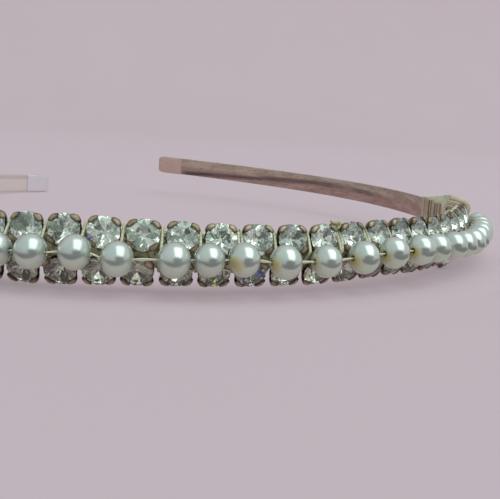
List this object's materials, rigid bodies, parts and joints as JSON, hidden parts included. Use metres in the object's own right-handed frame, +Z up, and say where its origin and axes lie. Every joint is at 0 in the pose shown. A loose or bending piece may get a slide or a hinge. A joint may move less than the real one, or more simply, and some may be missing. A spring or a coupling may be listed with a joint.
{
  "type": "bridal headband",
  "caption": "Narrow open metal headband lying on its edge, with two rows of claw-set stones and a string of pearls along its front.",
  "frame": {"origin": "centre of the bounding box in X and Y, on the surface that the headband lies on", "axes": "+Z up, the decorated front faces -Y, the two arms reach back along +Y"},
  "size_m": [0.131, 0.1488, 0.0126],
  "materials": {
    "tarnished_strip": "tarnished silver plate with a pinkish brown cast",
    "tarnished_cups": "tarnished brass settings",
    "clear_stones": "clear cut glass with a silvered back",
    "ivory_thread": "ivory nylon thread",
    "binding_thread": "closely wound pale green grey nylon thread",
    "pearl_nacre": "ivory pearl lacquer with ochre stains at the holes"
  },
  "bodies": {
    "root": {"band": "tarnished_strip", "upper_cups": "tarnished_cups", "upper_stones": "clear_stones", "lower_cups": "tarnished_cups", "lower_stones": "clear_stones", "pearl_thread": "ivory_thread", "binding_left": "binding_thread", "binding_right": "binding_thread", "pearl_01": "pearl_nacre", "pearl_02": "pearl_nacre", "pearl_03": "pearl_nacre", "pearl_04": "pearl_nacre", "pearl_05": "pearl_nacre", "pearl_06": "pearl_nacre", "pearl_07": "pearl_nacre", "pearl_08": "pearl_nacre", "pearl_09": "pearl_nacre", "pearl_10": "pearl_nacre", "pearl_11": "pearl_nacre", "pearl_12": "pearl_nacre", "pearl_13": "pearl_nacre", "pearl_14": "pearl_nacre", "pearl_15": "pearl_nacre", "pearl_16": "pearl_nacre", "pearl_17": "pearl_nacre", "pearl_18": "pearl_nacre", "pearl_19": "pearl_nacre", "pearl_20": "pearl_nacre", "pearl_21": "pearl_nacre", "pearl_22": "pearl_nacre", "pearl_23": "pearl_nacre", "pearl_24": "pearl_nacre", "pearl_25": "pearl_nacre", "pearl_26": "pearl_nacre", "pearl_27": "pearl_nacre", "pearl_28": "pearl_nacre"}
  },
  "joints": []
}
